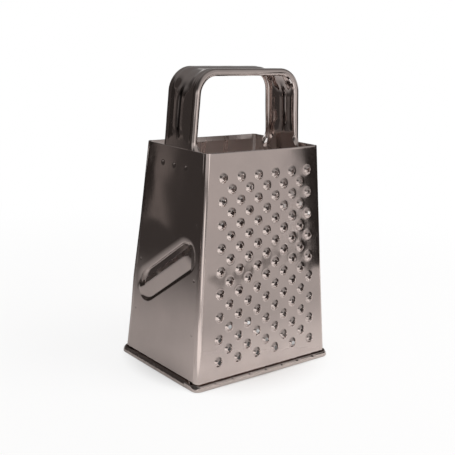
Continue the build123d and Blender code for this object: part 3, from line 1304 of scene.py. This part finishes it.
def steel(name, tint, dull_tint, wear_tint, smooth, dull, grain, grain_depth, across=None,
          shaded_valley=None):
    """Polished steel; across: axis of a wall with an inner face; last: valley sizes for painted
    shade.
    """
    material = bpy.data.materials.new(name)
    bench = Bench(material)
    surface = bench.nodes["Principled BSDF"].inputs
    surface["Metallic"].default_value = 1.0

    smudge = bench.contrast(bench.noise((1, 1, 1), smudge_size, 5.0), *patchy)
    lines = bench.noise(grain, 1.0, 3.0, 0.6)
    edge = bench.contrast(bench.add("NewGeometry").outputs["Pointiness"], *worn_edge)
    colour = bench.mix(smudge, tint, dull_tint, "RGBA")
    colour = bench.mix(edge, colour, wear_tint, "RGBA")
    # painted shade: the colour is mixed towards near black along the valley, where the groove is
    # shaded
    if shaded_valley:
        colour = bench.mix(valley_shade_share(bench, *shaded_valley), colour, painted_valley_shade, "RGBA")
    bench.feed(surface["Base Color"], colour)

    finish = bench.math("MULTIPLY_ADD", lines, grain_shine, bench.mix(smudge, smooth, dull))
    if across:
        streaks = bench.contrast(bench.noise(streak_stretch, 1.0, 3.0), *patchy)
        streaky = bench.mix(streaks, streak_shine, inner_roughness)
        finish = bench.mix(inner_share(bench, across), finish, streaky)
    bench.feed(surface["Roughness"], finish)

    bump = bench.add("Bump")
    bench.feed(bump.inputs["Strength"], grain_strength)
    bench.feed(bump.inputs["Distance"], grain_depth * MM)
    bench.feed(bump.inputs["Height"], lines)
    bench.feed(surface["Normal"], bump.outputs["Normal"])
    print(name, len(bench.nodes), "nodes")
    return material


sheet_tints = (0.6, 0.515, 0.485, 1), (0.55, 0.475, 0.45, 1), (0.68, 0.6, 0.57, 1)
sheet_finish = 0.03, 0.085, (1600, 1600, 60), 0.02
wall_steel = steel("wall_steel_look", *sheet_tints, *sheet_finish, across=(0, 1, 0))
side_steel = steel("side_steel_look", *sheet_tints, *sheet_finish, across=(1, 0, 0))
handle_steel = steel("handle_steel_look", (0.6, 0.52, 0.49, 1), (0.54, 0.465, 0.44, 1),
                     (0.7, 0.62, 0.59, 1), 0.04, 0.1, (60, 1600, 60), 0.02,
                     shaded_valley=handle_valley)
rim_steel = steel("rim_steel_look", (0.6, 0.52, 0.49, 1), (0.52, 0.45, 0.42, 1),
                  (0.7, 0.62, 0.59, 1), 0.08, 0.18, (500, 500, 900), 0.03)
weld_steel = steel("weld_steel_look", (0.57, 0.49, 0.46, 1), (0.5, 0.43, 0.41, 1),
                   (0.6, 0.52, 0.5, 1), 0.08, 0.16, (900, 900, 900), 0.04)

# %% Put the pieces in the frame
PIECES = [
    (front_wall, "front_panel", "wall_steel", wall_steel),
    (back_wall, "back_panel", "wall_steel", wall_steel),
    (left_wall, "left_panel", "wall_steel", side_steel),
    (right_wall, "right_panel", "wall_steel", side_steel),
    (handle, "handle_strap", "handle_steel", handle_steel),
    (rolled_rim, "base_rim", "rim_steel", rim_steel),
    (left_welds, "left_handle_welds", "weld_steel", weld_steel),
    (right_welds, "right_handle_welds", "weld_steel", weld_steel),
    (front_left_welds, "front_left_seam_welds", "weld_steel", weld_steel),
    (front_right_welds, "front_right_seam_welds", "weld_steel", weld_steel),
    (back_left_welds, "back_left_seam_welds", "weld_steel", weld_steel),
    (back_right_welds, "back_right_seam_welds", "weld_steel", weld_steel),
]
for piece, node, slot, material in PIECES:
    piece.data.materials.append(material)
    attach(piece, "root")
    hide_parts(node)
print(len(PIECES), "pieces ride on the frame")

# %% [markdown]
# ## The table and the light
# Steel is a mirror, so its light is mostly a set of things for it to mirror. The floor is pale and
# the background white. Dark boards stand to the left and behind, and grey and bright ones in front,
# so that each wall gets a tone of its own, as it does in a room. Shades on the floor darken what
# the walls mirror there, and a card inside the body lights its inner faces. Boards and shades are
# seen only in reflections. Two soft lamps at a plain level light the floor.

# %% Glow and white
floor_in_metal = 0.1
sky_in_metal = 0.02


def flat_mesh(name, corners):
    """One flat face through its corners, in metres."""
    mesh = bpy.data.meshes.new(name)
    mesh.from_pydata([Vector(c) for c in corners], [], [tuple(range(len(corners)))])
    return put_in_scene(name, mesh)


def glow_material(name):
    """Material that mixes a plain glow with something else, which is wired in later."""
    material = bpy.data.materials.new(name)
    bench = Bench(material)
    bench.nodes.remove(bench.nodes["Principled BSDF"])
    glow = bench.add("Emission")
    mix = bench.add("MixShader")
    bench.feed(mix.inputs[2], glow.outputs[0])
    bench.feed(bench.nodes["Material Output"].inputs["Surface"], mix.outputs[0])
    return material, bench, glow, mix


def white_share(bench, mirrored):
    """Share of plain white for a ray: all of it for the camera and through glass, some in metal."""
    path = bench.add("LightPath").outputs
    direct = bench.math("ADD", path["Is Camera Ray"], path["Is Transmission Ray"])
    return bench.math("MULTIPLY_ADD", path["Is Glossy Ray"], mirrored, direct, clamped=True)


print("share of white in metal: floor", floor_in_metal, "sky", sky_in_metal)

# %% Floor
# painted shade: the floor under the body gets a dark colour, standing in for the shade inside the
# body
painted_shade_under_body = (0.25, 0.245, 0.24, 1)
body_edge = (0.03, 0.045)
shadow_core = (0.035, 0.07)


def make_floor(size, colour, near_share, near, far):
    """Pale floor that the camera sees nearly white, with the object's shadow kept round it."""
    floor = flat_mesh("floor", [(-size, -size, 0), (size, -size, 0), (size, size, 0),
                                (-size, size, 0)])
    material, bench, glow, mix = glow_material("pale_floor")
    glow.inputs["Strength"].default_value = 1.0
    reach = bench.add("VectorMath", bench.place("Object"), operation="LENGTH").outputs["Value"]
    out_of_body = bench.contrast(reach, *body_edge)
    # painted shade: the floor's colour turns dark inside the body's footprint
    paint = bench.add("BsdfDiffuse", bench.mix(out_of_body, painted_shade_under_body, colour, "RGBA"))
    bench.feed(mix.inputs[1], paint.outputs[0])
    clear_of_body = bench.math("MULTIPLY", bench.soft_contrast(reach, near, far, near_share, 1.0),
                               bench.contrast(reach, *shadow_core))
    share = bench.math("MULTIPLY", white_share(bench, floor_in_metal), clear_of_body)
    bench.feed(mix.inputs[0], share)
    floor.data.materials.append(material)
    return floor


floor = make_floor(20.0, (0.8, 0.785, 0.775, 1), 0.85, 0.1, 0.5)
print("floor", floor.dimensions.x, "m wide")

# %% World
left_edge = (-0.68, -0.15)
front_edge = (-0.1, -0.5)
sky_rise = (0.04, 0.33)


def make_world(low_light, left_light, right_light, front_light):
    """White for the camera; else pale near the horizon, and darker above and to the left."""
    world = bpy.data.worlds.new("studio")
    bpy.context.scene.world = world
    bench = Bench(world)
    sky = bench.nodes["Background"]
    sky.inputs["Color"].default_value = (1.0, 0.985, 0.975, 1)
    x, y, z = bench.add("SeparateXYZ", bench.place("Generated")).outputs
    front = bench.soft_contrast(y, *front_edge, right_light, front_light)
    upper = bench.soft_contrast(x, *left_edge, left_light, front)
    bench.feed(sky.inputs["Strength"], bench.soft_contrast(z, *sky_rise, low_light, upper))
    white = bench.add("Background", (1, 1, 1, 1))
    mix = bench.add("MixShader", white_share(bench, sky_in_metal), sky.outputs[0],
                    white.outputs[0])
    bench.feed(bench.nodes["World Output"].inputs["Surface"], mix.outputs[0])
    print("world", len(bench.nodes), "nodes")


make_world(0.65, 0.05, 0.18, 0.45)

# %% Board and upright board
def board(name, corners, tone, fade):
    """Flat board seen only in reflections; fade is the width of its soft edges, as a share."""
    plane = flat_mesh(name, corners)
    uv = plane.data.uv_layers.new(name="edges")
    for loop, place in zip(uv.data, ((0, 0), (1, 0), (1, 1), (0, 1))):
        loop.uv = place
    material, bench, glow, mix = glow_material(name + "_face")
    glow.inputs["Color"].default_value = tone
    bench.feed(mix.inputs[1], bench.add("BsdfTransparent").outputs[0])
    split = bench.add("SeparateXYZ", bench.place("UV")).outputs
    share = 1.0
    for axis, (low_fade, high_fade) in zip(("X", "Y"), fade):
        for start, end in ((0.0, low_fade), (1.0, 1.0 - high_fade)):
            if start != end:
                soft = bench.soft_contrast(split[axis], start, end)
                share = bench.math("MULTIPLY", share, soft)
    bench.feed(mix.inputs[0], share)
    plane.data.materials.append(material)
    plane.visible_camera = False
    plane.visible_diffuse = False
    plane.visible_shadow = False


def upright(name, start, end, low, high, tone, fade):
    """Upright board over a line on the floor."""
    board(name, [(*start, low), (*end, low), (*end, high), (*start, high)], tone, fade)


def laid(name, z, corners, tone, fade):
    """Level board at a height."""
    board(name, [(x, y, z) for x, y in corners], tone, fade)


BLACK = (0.03, 0.027, 0.025, 1)
SHADOW = (0.055, 0.05, 0.048, 1)
DARK = (0.17, 0.155, 0.148, 1)
GREY = (0.62, 0.6, 0.59, 1)
SOFT = (1.3, 1.28, 1.26, 1)
BRIGHT = (1.8, 1.77, 1.74, 1)
CARD = (1.25, 1.34, 1.37, 1)
print("darkest board", BLACK[0], "brightest board", BRIGHT[0])

# %% Boards
UPRIGHT_BOARDS = [
    ("left_board", (-0.32, 0.29), (-0.40, 0.54), 0.0, 0.75,
     SHADOW, ((0.0, 0.0), (0.01, 0.3))),
    ("left_near_board", (-0.64, -0.12), (-0.32, 0.29), 0.0, 0.6,
     SHADOW, ((0.05, 0.0), (0.01, 0.3))),
    ("left_curtain", (-0.355, 0.42), (-0.3845, 0.516), 0.0, 0.62,
     DARK, ((0.5, 0.06), (0.01, 0.3))),
    ("back_board", (-0.401, 0.539), (0.14, 0.75), 0.0, 0.55,
     BLACK, ((0.0, 0.15), (0.01, 0.4))),
    ("right_board", (0.2615, -0.2825), (0.55, 0.12), 0.0, 0.22,
     BLACK, ((0.012, 0.2), (0.01, 0.4))),
    ("front_board", (-0.05, -0.30), (0.35, -0.386), 0.0, 0.3,
     GREY, ((0.2, 0.02), (0.02, 0.5))),
    ("front_low_board", (-0.383, -0.208), (-0.217, -0.392), 0.0, 0.12,
     SOFT, ((0.3, 0.3), (0.02, 0.3))),
    ("front_high_board", (-0.10, -0.36), (0.03, -0.36), 0.09, 0.22,
     BRIGHT, ((0.3, 0.3), (0.3, 0.3))),
]
LAID_BOARDS = [
    # painted shade: a dark strip laid on the floor at the front right, seen only in reflections
    ("floor_edge_shade", 0.0015, [(0.13, -0.262), (0.32, -0.335), (0.335, -0.385), (0.15, -0.312)],
     (0.18, 0.17, 0.165, 1), ((0.1, 0.1), (0.45, 0.45))),
    ("front_floor_shade", 0.0011, [(-0.06, -0.045), (0.2, -0.045), (0.45, -0.4), (-0.02, -0.4)],
     (0.6, 0.585, 0.575, 1), ((0.1, 0.1), (0.35, 0.0))),
    ("left_floor_shade", 0.0002, [(-0.37, -0.391), (0.41, 0.209), (-0.14, 0.928), (-0.92, 0.328)],
     (0.06, 0.055, 0.053, 1), ((0.02, 0.02), (0.6, 0.0))),
    ("front_glow", 0.001, [(-0.32, -0.06), (-0.06, -0.06), (0.02, -0.19), (-0.25, -0.34)],
     SOFT, ((0.3, 0.2), (0.06, 0.3))),
    ("card_back", 0.0862, [(-0.02, -0.0325), (0.0455, -0.0325), (0.0455, 0.0325), (-0.02, 0.0325)],
     BLACK, ((0.0, 0.0), (0.02, 0.02))),
    ("inside_card", 0.087, [(-0.022, -0.03), (0.03, -0.03), (0.03, 0.032), (-0.022, 0.032)],
     CARD, ((0.1, 0.05), (0.05, 0.05))),
]
for row in UPRIGHT_BOARDS:
    upright(*row)
for row in LAID_BOARDS:
    laid(*row)
print(len(UPRIGHT_BOARDS), "upright boards and", len(LAID_BOARDS), "laid boards")

# %% Lamps
def soft_lamp(name, place, target, size, power):
    """Round lamp that lights the floor and is left out of reflections."""
    lamp = bpy.data.lights.new(name, "AREA")
    lamp.shape = "DISK"
    lamp.size = size
    lamp.energy = power
    lit = put_in_scene(name, lamp)
    lit.location = place
    aim = Vector(target) - Vector(place)
    lit.rotation_euler = aim.to_track_quat("-Z", "Y").to_euler()
    lit.visible_glossy = False
    print(name, power, "watts")


soft_lamp("key_lamp", (0.35, -0.4, 0.9), (0.0, 0.0, 0.05), 0.5, 5.0)
soft_lamp("top_lamp", (0.0, 0.02, 1.1), (0.0, 0.0, 0.1), 0.5, 6.0)

# %% [markdown]
# ## The camera
# The camera stands where the photographer's did, above and to the left of the front corner, with a
# slightly long lens. It is held a little askew, as a hand-held camera is.

# %% Camera
def make_camera(place, yaw_degrees, pitch_degrees, roll_degrees, lens):
    yaw = math.radians(yaw_degrees)
    pitch = math.radians(pitch_degrees)
    roll = math.radians(roll_degrees)
    ahead = Vector((math.sin(yaw) * math.cos(pitch), math.cos(yaw) * math.cos(pitch),
                    -math.sin(pitch)))
    side = Vector((math.cos(yaw), -math.sin(yaw), 0))
    above = side.cross(ahead)
    right = math.cos(roll) * side + math.sin(roll) * above
    up = math.cos(roll) * above - math.sin(roll) * side
    data = bpy.data.cameras.new("camera")
    data.lens = lens
    data.sensor_width = 36.0
    camera = put_in_scene("camera", data)
    turned = Matrix((right, up, -ahead)).transposed().to_4x4()
    camera.matrix_world = Matrix.Translation(place) @ turned
    bpy.context.scene.camera = camera
    print("camera", place, "lens", lens)


make_camera(Vector((-0.3344, -0.4132, 0.2142)), 38.81, 13.49, 2.15, 66.59)
bpy.context.scene.view_settings.view_transform = "Standard"

# %% [markdown]
# ## The last update
# The drawn pieces have to fit in the measured box; the scene is updated once more so that every
# piece stands in place.


bpy.context.view_layer.update()
